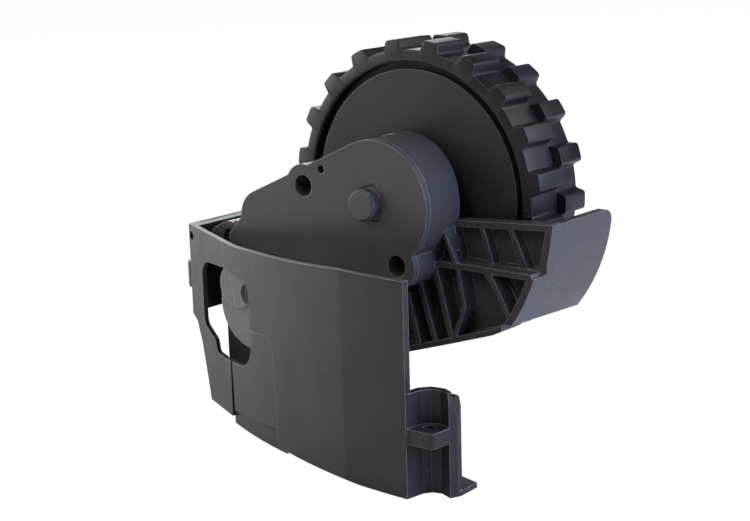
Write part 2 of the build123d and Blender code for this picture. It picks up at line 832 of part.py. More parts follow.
# Gearbox case: inner half of the arm's shell with the pivot hub and, in the
# same moulding, the ribbed mudguard that follows the tyre.
guard_radius = tyre_radius + 6.5
guard_wall = 1.8
guard_back = -18.2
guard_floor = 5.6
guard_inner = 2.4
guard_tail = -39.4
guard_tip = -3.6
guard_corner = 3.2
side_plane = Plane(
    origin=(wheel_x + 30.6, disc_y, wheel_z), x_dir=(0, 1, 0), z_dir=(1, 0, 0)
)
upper_row_front = 6.25
lower_row_front = 10.0
with BuildPart() as gearbox_case:
    with BuildSketch(arm_plane(case_back)):
        shell_outline(front=back_nose)
    extrude(amount=case_step - case_back)
    with BuildSketch(arm_plane(case_step)):
        shell_outline()
    extrude(amount=cover_back - case_step)
    with BuildSketch(arm_plane(case_back)):
        for x, z in shell_screws:
            disc(x, z, shell_ear_radius)
    extrude(amount=cover_back - case_back)
    # Web and hub of the pivot.
    hub_heel = (pivot[0] + pivot_hub_heel[0], pivot[1] + pivot_hub_heel[1])
    with BuildSketch(arm_plane(case_back)):
        taut((-36.0, -12.5, 3.6), (*pivot, pivot_hub_radius), (*hub_heel, pivot_hub_radius))
    extrude(amount=13.5 - case_back)
    with BuildSketch(arm_plane(case_back)):
        taut((*pivot, pivot_hub_radius), (*hub_heel, pivot_hub_radius))
    extrude(amount=14.5 - case_back)

    # Mudguard: lower cells, standing further out than the upper ones.
    with BuildSketch(arm_plane(guard_inner)):
        outline(
            (-3.0, -22.0),
            (11.0, -9.0),
            (12.3, -13.3),
            (24.5, -12.9),
            *[polar(guard_radius - guard_wall / 2, angle) for angle in (-19.5, -25, -31, -37)],
            (28.0, -27.6),
            (17.6, -30.9),
            (4.4, -35.1),
            (-3.0, -34.6),
        )
    extrude(amount=guard_floor - guard_inner)
    with BuildSketch(arm_plane(guard_inner)):
        rib((11.6, -13.4), (24.5, -13.3), (38.4, -13.6), width=1.3)
        rib((33.0, -24.6), (27.9, -27.1), (17.5, -30.4), (4.2, -34.5), (-3.0, -34.4), width=1.3)
        rib((14.6, -5.2), (18.9, -13.8), (20.6, -22.4), (17.6, -30.3), width=0.9)
        rib((12.6, -14.2), (17.0, -29.7))
        rib((7.9, -17.4), (12.4, -31.2))
        rib((4.7, -21.3), (7.8, -32.5))
        outline((25.6, -13.6), (27.7, -13.6), (30.3, -18.0), (33.6, -24.0), (32.7, -24.7), (29.4, -18.4))
    extrude(amount=lower_row_front - guard_inner)
    # Upper cells.
    with BuildSketch(arm_plane(guard_inner)):
        outline((12.0, -4.2), (14.6, -4.0), (40.7, -2.5), (39.9, -13.4), (12.0, -13.4))
    extrude(amount=upper_row_front - guard_inner)
    with BuildSketch(arm_plane(3.6)):
        outline((15.7, -5.4), (22.4, -5.0), (25.1, -12.7), (17.3, -12.7))
        outline((23.5, -4.9), (30.1, -4.5), (33.0, -12.7), (26.1, -12.7))
        outline((31.1, -4.4), (39.6, -3.9), (39.4, -7.6), (38.3, -12.4), (35.1, -12.7))
        outline((12.6, -7.0), (14.6, -8.6), (16.2, -12.7), (12.6, -12.7))
    extrude(amount=5, mode=Mode.SUBTRACT)
    # Slot and slits through the wall beside the tyre.
    with BuildSketch(arm_plane(0)):
        taut((38.0, -4.9, 0.7), (38.7, -6.9, 0.7))
        outline((28.0, -14.4), (29.4, -14.9), (31.8, -19.0), (33.7, -23.2), (30.6, -18.0))
    extrude(amount=12, mode=Mode.SUBTRACT)
    # Curved guard over the tread.
    with BuildSketch(arm_plane(guard_back)):
        with BuildLine():
            CenterArc((0, 0), guard_radius - guard_wall / 2, guard_tail, guard_tip - guard_tail)
        trace(line_width=guard_wall)
    extrude(amount=upper_row_front - guard_back)
    with BuildSketch(arm_plane(0)):
        with BuildLine():
            CenterArc((0, 0), guard_radius - guard_wall / 2, guard_tail, -19.5 - guard_tail)
        trace(line_width=guard_wall)
    extrude(amount=lower_row_front)
    # Its lower edge climbs toward the panel, and its far top corner is rounded.
    with BuildSketch(side_plane):
        outline(
            (-lower_row_front - 1, -24.8),
            (-guard_back + 1, -26.3),
            (-guard_back + 1, -34),
            (-lower_row_front - 1, -34),
        )
    extrude(amount=guard_radius, mode=Mode.SUBTRACT)
    with BuildSketch(side_plane):
        corner = (-guard_back, polar(guard_radius, guard_tip)[1])
        outline(
            (corner[0] - guard_corner, corner[1] + 1),
            (corner[0] + 1, corner[1] + 1),
            (corner[0] + 1, corner[1] - guard_corner),
            (corner[0] - guard_corner, corner[1] - guard_corner),
        )
        disc(corner[0] - guard_corner, corner[1] - guard_corner, guard_corner, mode=Mode.SUBTRACT)
    extrude(amount=guard_radius, mode=Mode.SUBTRACT)

    # Inside of the case: room for the gears, and the recess the motor cup fills.
    with BuildSketch(arm_plane(case_back + case_back_wall)):
        shell_outline(shell_wall, back_nose)
    extrude(amount=20, mode=Mode.SUBTRACT)
    with BuildSketch(arm_plane(case_step + shell_wall)):
        shell_outline(shell_wall)
    extrude(amount=20, mode=Mode.SUBTRACT)
    with BuildSketch(arm_plane(cup_floor_back)):
        disc(*motor, cup_outer)
    extrude(amount=20, mode=Mode.SUBTRACT)
    # Screw posts up to the cover's tubes.
    with BuildSketch(arm_plane(case_back)):
        for x, z in shell_screws:
            disc(x, z, screw_post_radius)
    extrude(amount=screw_head_floor - case_back)
    with BuildSketch(arm_plane(screw_head_floor)):
        for x, z in shell_screws:
            disc(x, z, screw_post_radius)
    extrude(amount=20, mode=Mode.SUBTRACT)
    with BuildSketch(arm_plane(3.6)):
        for x, z in shell_screws:
            disc(x, z, 0.95)
    extrude(amount=20, mode=Mode.SUBTRACT)
    # Bosses on the back that hold the gear pins, and the rear bush's bore.
    with BuildSketch(arm_plane(1.0)):
        disc(*first_gear, 2.6)
        disc(*second_gear, 2.6)
    extrude(amount=1.0)
    with BuildSketch(arm_plane(1.6)):
        disc(*first_gear, gear_pin_radius)
        disc(*second_gear, gear_pin_radius)
    extrude(amount=5, mode=Mode.SUBTRACT)
    with BuildSketch(arm_plane(0)):
        disc(0, 0, 4.0)
    extrude(amount=5, mode=Mode.SUBTRACT)
    # Pivot bore.
    with BuildSketch(arm_plane(0)):
        disc(*pivot, pivot_pin_radius + running_gap)
    extrude(amount=20, mode=Mode.SUBTRACT)
    # Finger that works the switch, and the tab the spring pushes.
    with BuildSketch(arm_plane(4.2)):
        taut((pivot[0] - 0.35, pivot[1] - 9.5, 1.2), (pivot[0], pivot[1] - 4.5, 1.6))
        disc(*pivot, pivot_pin_radius + running_gap, mode=Mode.SUBTRACT)
    extrude(amount=4.6)
    with BuildSketch(arm_plane(-7.6)):
        outline(
            (pivot[0] + 0.3, pivot[1] - 11.6),
            (pivot[0] + 2.5, pivot[1] - 11.6),
            (pivot[0] + 2.5, pivot[1] - 7.6),
            (pivot[0] + 0.3, pivot[1] - 7.6),
        )
    extrude(amount=7.6 + case_back)
    with BuildSketch(arm_plane(case_back)):
        outline(
            (pivot[0] + 0.3, pivot[1] - 11.6),
            (pivot[0] + 2.5, pivot[1] - 11.6),
            (pivot[0] + 8.0, pivot[1] - 6.0),
            (pivot[0] + 3.4, pivot[1] - 4.0),
            (pivot[0] + 0.3, pivot[1] - 5.0),
        )
    extrude(amount=1.8)

gearbox_case.part.label = "gearbox_case"
export_step(gearbox_case.part, "parts/gearbox_case.step")

# Three self-tapping screws close the arm's shell.
with BuildPart() as gearbox_screws:
    with BuildSketch(arm_plane(screw_head_floor + 1.2)):
        for x, z in shell_screws:
            disc(x, z, 2.0)
    extrude(amount=1.6)
    with BuildSketch(arm_plane(4.0)):
        for x, z in shell_screws:
            disc(x, z, 0.95)
    extrude(amount=screw_head_floor + 1.2 - 4.0)
    with BuildSketch(arm_plane(screw_head_floor + 2.8)):
        for x, z in shell_screws:
            with Locations((x, z)):
                Rectangle(2.6, 0.5)
                Rectangle(0.5, 2.6)
    extrude(amount=-0.8, mode=Mode.SUBTRACT)

gearbox_screws.part.label = "gearbox_screws"
export_step(gearbox_screws.part, "parts/gearbox_screws.step")

# Front bush: a flange keyed in the cover and a round nose over the axle.
with BuildPart() as axle_bush_front:
    with BuildSketch(arm_plane(cover_back)):
        bush_outline()
    extrude(amount=cover_thickness - 0.3)
    with BuildSketch(arm_plane(13.6)):
        Circle(3.6 - slip_gap / 2)
    extrude(amount=cover_back - 13.6)
    with BuildSketch(arm_plane(cover_back)):
        Circle(3.65)
    extrude(amount=20.0 - cover_back)
    chamfer(axle_bush_front.edges().group_by(Axis.Y)[0], 0.5)
    with BuildSketch(arm_plane(10)):
        Circle(axle_radius + running_gap)
    extrude(amount=8.5, mode=Mode.SUBTRACT)

axle_bush_front.part.label = "axle_bush_front"
export_step(axle_bush_front.part, "parts/axle_bush_front.step")

# Rear bush, pressed into the case's back wall.
with BuildPart() as axle_bush_rear:
    with BuildSketch(arm_plane(case_back)):
        Circle(4.0)
        Circle(axle_radius + running_gap, mode=Mode.SUBTRACT)
    extrude(amount=case_back_wall)

axle_bush_rear.part.label = "axle_bush_rear"
export_step(axle_bush_rear.part, "parts/axle_bush_rear.step")

# Two steel pins carry the two reduction gears.
with BuildPart() as gear_pins:
    with BuildSketch(arm_plane(1.6)):
        disc(*first_gear, gear_pin_radius)
        disc(*second_gear, gear_pin_radius)
    extrude(amount=cup_floor_back + 0.8 - 1.6)

gear_pins.part.label = "gear_pins"
export_step(gear_pins.part, "parts/gear_pins.step")

# First reduction gear: big wheel driven by the motor, pinion behind it.
with BuildPart() as reduction_gear_1:
    with BuildSketch(arm_plane(first_plane)):
        gear_outline(first_gear, first_wheel_teeth, first_module, 0, 1)
    extrude(amount=-first_gear_width)
    with BuildSketch(arm_plane(first_plane - first_gear_width)):
        disc(*first_gear, 2.3)
    extrude(amount=-(first_plane - first_gear_width - second_plane))
    with BuildSketch(arm_plane(second_plane)):
        gear_outline(first_gear, pinion_teeth, second_module, first_pinion_phase, 2)
    extrude(amount=-second_gear_width)
    with BuildSketch(arm_plane(second_plane - second_gear_width)):
        disc(*first_gear, 1.8)
    extrude(amount=-(second_plane - second_gear_width - case_back - case_back_wall - slip_gap))
    with BuildSketch(arm_plane(first_plane)):
        disc(*first_gear, gear_pin_radius + running_gap)
    extrude(amount=-12, mode=Mode.SUBTRACT)

reduction_gear_1.part.label = "reduction_gear_1"
export_step(reduction_gear_1.part, "parts/reduction_gear_1.step")

# Second reduction gear.
with BuildPart() as reduction_gear_2:
    with BuildSketch(arm_plane(second_plane)):
        gear_outline(second_gear, second_wheel_teeth, second_module, 0, 1)
    extrude(amount=-second_gear_width)
    with BuildSketch(arm_plane(second_plane - second_gear_width)):
        disc(*second_gear, 2.7)
    extrude(amount=-(second_plane - second_gear_width - output_plane))
    with BuildSketch(arm_plane(output_plane)):
        gear_outline(second_gear, pinion_teeth, output_module, second_pinion_phase, 2)
    extrude(amount=-output_gear_width)
    with BuildSketch(arm_plane(11.6)):
        disc(*second_gear, 2.0)
    extrude(amount=-(11.6 - second_plane))
    with BuildSketch(arm_plane(12)):
        disc(*second_gear, gear_pin_radius + running_gap)
    extrude(amount=-12, mode=Mode.SUBTRACT)

reduction_gear_2.part.label = "reduction_gear_2"
export_step(reduction_gear_2.part, "parts/reduction_gear_2.step")

# Output gear, pressed on the flats of the axle.
axle_flat = 1.9
with BuildPart() as output_gear:
    with BuildSketch(arm_plane(output_plane)):
        gear_outline((0, 0), output_teeth, output_module, 0, 1)
    extrude(amount=-output_gear_width)
    with BuildSketch(arm_plane(output_plane)):
        Circle(3.2)
    extrude(amount=1.6)
    with BuildSketch(arm_plane(output_plane + 1.6)):
        Circle(axle_radius)
        with Locations((0, axle_radius + axle_flat)):
            Rectangle(4 * axle_radius, 2 * axle_radius, mode=Mode.SUBTRACT)
    extrude(amount=-8, mode=Mode.SUBTRACT)

output_gear.part.label = "output_gear"
export_step(output_gear.part, "parts/output_gear.step")

# Axle: one steel shaft from the front bush to the wheel's screw, flatted where
# the output gear and the hub grip it.
axle_end = 13.6
axle_front = 18.3
with BuildPart() as axle:
    with BuildSketch(arm_plane(axle_front)):
        Circle(axle_radius)
    extrude(amount=-(axle_front + axle_end))
    with BuildSketch(arm_plane(output_plane + 1.6)):
        with Locations((0, axle_radius + axle_flat)):
            Rectangle(4 * axle_radius, 2 * axle_radius)
    extrude(amount=-(output_gear_width + 1.6), mode=Mode.SUBTRACT)
    with BuildSketch(arm_plane(-3)):
        with Locations((0, axle_radius + axle_flat)):
            Rectangle(4 * axle_radius, 2 * axle_radius)
    extrude(amount=-12, mode=Mode.SUBTRACT)
    with BuildSketch(arm_plane(-axle_end)):
        Circle(1.0)
    extrude(amount=7, mode=Mode.SUBTRACT)

axle.part.label = "axle"
export_step(axle.part, "parts/axle.step")

# Wheel hub: disc toward the gearbox, barrel under the tyre, six spokes behind.
barrel_back = tyre_width - tyre_overhang - 1.0
with BuildPart() as wheel_hub:
    with BuildSketch(axle_section):
        outline(
            (0, 0.5),
            (0, hub_disc_radius),
            (hub_groove_depth, hub_disc_radius),
            (hub_groove_depth, hub_barrel_radius),
            (barrel_back, hub_barrel_radius),
            (barrel_back, hub_barrel_radius - 2.0),
            (hub_disc_thickness, hub_barrel_radius - 2.6),
            (hub_disc_thickness, 6.0),
            (13.0, 5.4),
            (13.0, 0.5),
        )
    revolve(axis=axle_line)
    with BuildSketch(arm_plane(-hub_disc_thickness + 0.2)):
        for spoke in range(hub_spokes):
            rib(polar(4.5, spoke * 60 + 30), polar(hub_barrel_radius - 1.4, spoke * 60 + 30), width=1.6)
    extrude(amount=-10.5)
    with BuildSketch(arm_plane(1.5)):
        Circle(4.8)
    extrude(amount=-1.5)
    with BuildSketch(arm_plane(2)):
        Circle(axle_radius)
    extrude(amount=-5, mode=Mode.SUBTRACT)
    with BuildSketch(arm_plane(-3)):
        Circle(axle_radius)
        with Locations((0, axle_radius + axle_flat)):
            Rectangle(4 * axle_radius, 2 * axle_radius, mode=Mode.SUBTRACT)
    extrude(amount=-12, mode=Mode.SUBTRACT)

wheel_hub.part.label = "wheel_hub"
export_step(wheel_hub.part, "parts/wheel_hub.step")

# Tyre: rubber, two rows of lugs set half a pitch apart. The near row rises
# flush from the sidewall.
lug_pitch = 360 / lugs_per_row
tyre_front = -tyre_overhang
tyre_back = tyre_width - tyre_overhang
far_row_front = near_row_width + tyre_front + row_gap


def lug_row(first_angle):
    """Adds one ring of tapered lugs."""
    for lug in range(lugs_per_row):
        middle = first_angle + lug * lug_pitch
        outline(
            polar(tread_floor_radius - 0.6, middle - lug_base_half_angle),
            polar(tyre_radius - lug_shoulder_drop, middle - lug_shoulder_half_angle),
            polar(tyre_radius + 0.3, middle - lug_top_half_angle),
            polar(tyre_radius + 0.3, middle + lug_top_half_angle),
            polar(tyre_radius - lug_shoulder_drop, middle + lug_shoulder_half_angle),
            polar(tread_floor_radius - 0.6, middle + lug_base_half_angle),
        )


with BuildPart() as tyre:
    with BuildSketch(arm_plane(-tyre_front)):
        lug_row(first_lug_angle)
    extrude(amount=-near_row_width)
    with BuildSketch(arm_plane(-far_row_front)):
        lug_row(first_lug_angle + lug_pitch / 2 - far_row_lag)
    extrude(amount=-(tyre_back - far_row_front))
    # The lugs' crown, with both rows' edges broken.
    with BuildSketch(axle_section):
        outline(
            (tyre_front, hub_barrel_radius),
            (tyre_front, tyre_radius - lug_edge),
            (tyre_front + lug_edge, tyre_radius),
            (tyre_back - lug_edge, tyre_radius),
            (tyre_back, tyre_radius - lug_edge),
            (tyre_back, hub_barrel_radius),
        )
    revolve(axis=axle_line, mode=Mode.INTERSECT)
    # Carcass between the rows and the hub.
    with BuildSketch(axle_section):
        outline(
            (tyre_front + 0.5, tyre_face_bore),
            (tyre_front, tyre_face_bore + 0.5),
            (tyre_front, tread_floor_radius),
            (tyre_back - 0.5, tread_floor_radius),
            (tyre_back, tread_floor_radius - 0.5),
            (tyre_back, hub_barrel_radius - 1.0),
            (barrel_back, hub_barrel_radius - 1.0),
            (barrel_back, hub_barrel_radius),
            (hub_groove_depth, hub_barrel_radius),
            (hub_groove_depth, tyre_face_bore),
        )
    revolve(axis=axle_line)

tyre.part.label = "tyre"
export_step(tyre.part, "parts/tyre.step")

# Washer and screw that hold the wheel on the axle.
with BuildPart() as wheel_washer:
    with BuildSketch(arm_plane(-axle_end)):
        Circle(4.6)
        Circle(1.2, mode=Mode.SUBTRACT)
    extrude(amount=-0.8)

wheel_washer.part.label = "wheel_washer"
export_step(wheel_washer.part, "parts/wheel_washer.step")

with BuildPart() as wheel_screw:
    with BuildSketch(arm_plane(-axle_end - 0.8)):
        Circle(2.4)
    extrude(amount=-1.7)
    with BuildSketch(arm_plane(-axle_end - 0.8)):
        Circle(1.0)
    extrude(amount=7.0)
    with BuildSketch(arm_plane(-axle_end - 2.5)):
        Rectangle(3.2, 0.6)
        Rectangle(0.6, 3.2)
    extrude(amount=0.9, mode=Mode.SUBTRACT)

wheel_screw.part.label = "wheel_screw"
export_step(wheel_screw.part, "parts/wheel_screw.step")

# Motor can: drawn steel cup, open toward the panel, its nose in the cover.
can_wall = 0.8
with BuildPart() as motor_can:
    with BuildSketch(arm_plane(motor_back)):
        disc(*motor, motor_radius)
    extrude(amount=motor_front - motor_back)
    fillet(motor_can.edges().group_by(Axis.Y)[-1], 1.0)
    with BuildSketch(arm_plane(motor_back + can_wall)):
        disc(*motor, motor_radius - can_wall)
    extrude(amount=20, mode=Mode.SUBTRACT)
    with BuildSketch(arm_plane(motor_back - 1.1)):
        disc(*motor, 3.0)
    extrude(amount=1.1 + can_wall)
    with BuildSketch(arm_plane(0)):
        disc(*motor, motor_shaft_radius + running_gap)
        for side in (90, -90):
            disc(*polar(5.0, motor_bearing + side, motor), 0.9)
    extrude(amount=30, mode=Mode.SUBTRACT)

motor_can.part.label = "motor_can"
export_step(motor_can.part, "parts/motor_can.step")

# Motor cap: closes the can toward the panel, with the raised brush housing.
cap_socket = (-29.6, -22.9, 2.9)
with BuildPart() as motor_end_cap:
    with BuildSketch(arm_plane(motor_front)):
        disc(*motor, motor_radius)
    extrude(amount=motor_cap - motor_front)
    fillet(motor_end_cap.edges().group_by(Axis.Y)[0], 0.5)
    with BuildSketch(arm_plane(motor_front - 1.6)):
        disc(*motor, motor_radius - can_wall)
        disc(*motor, motor_radius - can_wall - 1.2, mode=Mode.SUBTRACT)
    extrude(amount=1.6)
    with BuildSketch(arm_plane(motor_cap)):
        disc(*brush_housing)
    extrude(amount=brush_rise)
    # The housing's left side is cut a step lower.
    with BuildSketch(arm_plane(motor_cap + 0.4)):
        outline((-36.6, -16), (-34.2, -27), (-42, -27), (-42, -16))
    extrude(amount=2, mode=Mode.SUBTRACT)
    with BuildSketch(arm_plane(motor_cap - 0.6)):
        disc(*cap_socket)
    extrude(amount=3, mode=Mode.SUBTRACT)

motor_end_cap.part.label = "motor_end_cap"
export_step(motor_end_cap.part, "parts/motor_end_cap.step")

# Two solder tags on the cap, and the plug socket between them.
with BuildPart() as motor_terminals:
    with BuildSketch(arm_plane(motor_cap)):
        for x in (-24.6, -20.2):
            with Locations((x, -30.2)):
                Rectangle(0.5, 2.2)
    extrude(amount=2.4)

motor_terminals.part.label = "motor_terminals"
export_step(motor_terminals.part, "parts/motor_terminals.step")

with BuildPart() as motor_connector:
    with BuildSketch(arm_plane(motor_cap)):
        with Locations((-22.4, -22.6)):
            Rectangle(5.0, 7.4)
    extrude(amount=3.4)
    with BuildSketch(arm_plane(motor_cap + 3.4)):
        with Locations((-22.4, -22.6)):
            Rectangle(3.6, 6.0)
    extrude(amount=-2.6, mode=Mode.SUBTRACT)
    with BuildSketch(arm_plane(motor_cap + 0.4)):
        for pin in range(4):
            with Locations((-22.4, -24.7 + 1.4 * pin)):
                Rectangle(0.4, 0.4)
    extrude(amount=2.2)

motor_connector.part.label = "motor_connector"
export_step(motor_connector.part, "parts/motor_connector.step")

# Two magnets inside the can.
magnet_inner = 9.4
with BuildPart() as motor_magnets:
    with BuildSketch(arm_plane(motor_back + can_wall + 0.6)):
        disc(*motor, motor_radius - can_wall)
        disc(*motor, magnet_inner, mode=Mode.SUBTRACT)
        with Locations(motor):
            Rectangle(30, 5, mode=Mode.SUBTRACT)
    extrude(amount=6.4)

motor_magnets.part.label = "motor_magnets"
export_step(motor_magnets.part, "parts/motor_magnets.step")

# Motor rotor: shaft with its wound core; the pinion is pressed on the shaft.
with BuildPart() as motor_rotor:
    with BuildSketch(arm_plane(first_plane - first_gear_width)):
        disc(*motor, motor_shaft_radius)
    extrude(amount=motor_front - 0.2 - first_plane + first_gear_width)
    with BuildSketch(arm_plane(motor_back + can_wall + 0.8)):
        disc(*motor, magnet_inner - 0.5)
        for slot in range(3):
            with Locations(polar(9.2, slot * 120 + 30, motor)):
                Circle(2.6, mode=Mode.SUBTRACT)
    extrude(amount=5.8)
    with BuildSketch(arm_plane(motor_back + can_wall + 6.6)):
        disc(*motor, 3.0)
    extrude(amount=1.9)

motor_rotor.part.label = "motor_rotor"
export_step(motor_rotor.part, "parts/motor_rotor.step")

with BuildPart() as motor_pinion:
    with BuildSketch(arm_plane(first_plane)):
        gear_outline(motor, pinion_teeth, first_module, motor_pinion_phase, 2)
        disc(*motor, motor_shaft_radius, mode=Mode.SUBTRACT)
    extrude(amount=-first_gear_width)

motor_pinion.part.label = "motor_pinion"
export_step(motor_pinion.part, "parts/motor_pinion.step")

# Two screws hold the motor from inside the gearbox.
with BuildPart() as motor_screws:
    with BuildSketch(arm_plane(cup_floor_back)):
        for side in (90, -90):
            disc(*polar(5.0, motor_bearing + side, motor), 1.6)
    extrude(amount=-0.9)
    with BuildSketch(arm_plane(cup_floor_back)):
        for side in (90, -90):
            disc(*polar(5.0, motor_bearing + side, motor), 0.9)
    extrude(amount=motor_back + can_wall - cup_floor_back)

motor_screws.part.label = "motor_screws"
export_step(motor_screws.part, "parts/motor_screws.step")
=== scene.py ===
import math

import bpy
from mathutils import Matrix, Vector


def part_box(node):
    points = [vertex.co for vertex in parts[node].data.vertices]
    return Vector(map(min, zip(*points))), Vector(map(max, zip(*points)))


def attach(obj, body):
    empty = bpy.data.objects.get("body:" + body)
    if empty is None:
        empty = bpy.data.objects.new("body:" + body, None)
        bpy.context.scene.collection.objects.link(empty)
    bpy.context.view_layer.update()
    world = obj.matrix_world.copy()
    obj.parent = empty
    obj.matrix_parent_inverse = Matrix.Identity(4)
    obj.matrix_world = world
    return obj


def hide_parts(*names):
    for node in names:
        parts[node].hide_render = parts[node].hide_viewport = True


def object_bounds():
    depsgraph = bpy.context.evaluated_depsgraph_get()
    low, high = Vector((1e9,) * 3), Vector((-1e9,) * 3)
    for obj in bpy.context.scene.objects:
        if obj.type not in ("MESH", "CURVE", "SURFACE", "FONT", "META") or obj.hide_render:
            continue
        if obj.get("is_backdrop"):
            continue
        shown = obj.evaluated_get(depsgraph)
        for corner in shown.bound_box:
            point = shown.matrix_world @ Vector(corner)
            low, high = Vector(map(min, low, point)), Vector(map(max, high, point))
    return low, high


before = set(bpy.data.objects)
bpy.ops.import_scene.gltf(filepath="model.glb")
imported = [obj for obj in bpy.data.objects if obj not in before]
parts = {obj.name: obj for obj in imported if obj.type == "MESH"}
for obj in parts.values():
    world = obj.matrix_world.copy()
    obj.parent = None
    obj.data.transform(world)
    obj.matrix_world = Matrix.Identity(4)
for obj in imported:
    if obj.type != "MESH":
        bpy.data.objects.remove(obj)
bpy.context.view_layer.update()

# Camera: stands off the mudguard's corner, a little above the axle, as a
# photographer would hold it over a table. It is aimed past the wheel's disc
# and leans by a degree and a half.
MM = 0.001
hub_boss_height = 1.5 * MM
disc_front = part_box("wheel_hub")[0].y + hub_boss_height
tyre_low, tyre_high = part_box("tyre")
axle_end = Vector(((tyre_low.x + tyre_high.x) / 2, disc_front, (tyre_low.z + tyre_high.z) / 2))
view_azimuth = math.radians(39.14)
view_elevation = math.radians(12.65)
view_roll = math.radians(-1.61)
camera_distance = 399.1 * MM
aim_right = 9.21 * MM
aim_up = 15.79 * MM
camera_lens = 83.6

toward_camera = Vector((
    math.sin(view_azimuth) * math.cos(view_elevation),
    -math.cos(view_azimuth) * math.cos(view_elevation),
    math.sin(view_elevation),
))
level_right = Vector((math.cos(view_azimuth), math.sin(view_azimuth), 0))
level_up = toward_camera.cross(level_right)
picture_right = level_right * math.cos(view_roll) + level_up * math.sin(view_roll)
picture_up = level_up * math.cos(view_roll) - level_right * math.sin(view_roll)

camera = bpy.data.objects.new("camera", bpy.data.cameras.new("camera"))
camera.data.lens = camera_lens
camera.data.sensor_width = 36
camera.location = (
    axle_end
    + toward_camera * camera_distance
    - picture_right * aim_right
    - picture_up * aim_up
)
camera.rotation_mode = "QUATERNION"
camera.rotation_quaternion = Matrix(
    (picture_right, picture_up, toward_camera)
).transposed().to_quaternion()
bpy.context.scene.collection.objects.link(camera)
bpy.context.scene.camera = camera


# Housing frame and snap-in panel: injection-moulded ABS in one dark grey, from
# a spark-eroded mould, so the faces are matt with a very fine grain. Dust specks
# lie on them; thin pale lines along the edges are painted highlights, and the
# panel's right part is darkened with painted shade.
def graph(name):
    """A new node material with its shader, its node adder and its linker."""
    finish = bpy.data.materials.new(name)
    finish.use_nodes = True
    tree = finish.node_tree
    shader = tree.nodes["Principled BSDF"]

    def add(kind, **settings):
        node = tree.nodes.new("ShaderNode" + kind)
        for setting, value in settings.items():
            if hasattr(node, setting):
                setattr(node, setting, value)
            else:
                node.inputs[setting].default_value = value
        return node

    def link(source, target):
        tree.links.new(source, target)

    return finish, shader, add, link


def grey(level):
    """A grey of one level, as a node's socket takes it."""
    return (level, level, level, 1)


def ramp(add, low, high, at_low, at_high):
    """A ramp between two colours, placed from 0 to 1."""
    node = add("ValToRGB")
    first, last = node.color_ramp.elements
    first.position = low
    last.position = high
    first.color = at_low
    last.color = at_high
    return node


def noise(add, link, place, **settings):
    """Soft random patches through the body of a piece."""
    node = add("TexNoise", **settings)
    link(place, node.inputs["Vector"])
    return node.outputs["Fac"]


def overlaid(add, link, share, under, over):
    """A plain colour laid over what is under it, by a share at each point."""
    node = add("MixRGB")
    node.inputs["Color2"].default_value = over
    link(share, node.inputs["Fac"])
    link(under, node.inputs["Color1"])
    return node.outputs["Color"]


def edge_lines(add, link, radius, most):
    """A rounded normal, and the edges, where it leaves the face's own normal."""
    rounded = add("Bevel", samples=6, Radius=radius * MM).outputs["Normal"]
    face = add("NewGeometry")
    agree = add("VectorMath", operation="DOT_PRODUCT")
    link(rounded, agree.inputs[0])
    link(face.outputs["Normal"], agree.inputs[1])
    edges = ramp(add, 0.88, 0.995, grey(most), grey(0))
    link(agree.outputs["Value"], edges.inputs["Fac"])
    return rounded, edges.outputs["Color"]


def specks(add, link, place, patch_scale, patches_from, patches_to, largest, share):
    """Sparse dust specks of uneven size, as a share of dust at each point."""
    cells = add("TexVoronoi", feature="F1", Scale=420.0)
    link(place, cells.inputs["Vector"])
    size = ramp(add, patches_from, patches_to, grey(0), grey(largest))
    link(noise(add, link, place, Scale=patch_scale, Detail=1.0), size.inputs["Fac"])
    speck = add("Math", operation="LESS_THAN")
    link(cells.outputs["Distance"], speck.inputs[0])
    link(size.outputs["Color"], speck.inputs[1])
    dusted = add("Math", operation="MULTIPLY")
    dusted.inputs[1].default_value = share
    link(speck.outputs[0], dusted.inputs[0])
    return dusted.outputs[0]


def relief(add, link, shader, height, rounded, strength, depth):
    """Fine relief over the rounded normal."""
    bump = add("Bump", Strength=strength, Distance=depth * MM)
    link(height, bump.inputs["Height"])
    link(rounded, bump.inputs["Normal"])
    link(bump.outputs["Normal"], shader.inputs["Normal"])


def painted_right_shade(add, link, place, skin, shade_line, depth, share):
    """The skin right of a line and nearer than a depth is darker by a share:
    painted shade on the panel's flatter right part, which turns from the light."""
    line_blur = 0.2
    apart = add("SeparateXYZ")
    link(place, apart.inputs[0])
    right = add("MapRange")
    right.inputs["From Min"].default_value = (shade_line - line_blur) * MM
    right.inputs["From Max"].default_value = (shade_line + line_blur) * MM
    link(apart.outputs["X"], right.inputs["Value"])
    near = add("Math", operation="LESS_THAN")
    near.inputs[1].default_value = depth * MM
    link(apart.outputs["Y"], near.inputs[0])
    both = add("Math", operation="MULTIPLY")
    link(right.outputs["Result"], both.inputs[0])
    link(near.outputs[0], both.inputs[1])
    darker = add("MixRGB", blend_type="MULTIPLY")
    darker.inputs["Color2"].default_value = grey(1 - share)
    link(both.outputs[0], darker.inputs["Fac"])
    link(skin, darker.inputs["Color1"])
    return darker.outputs["Color"]


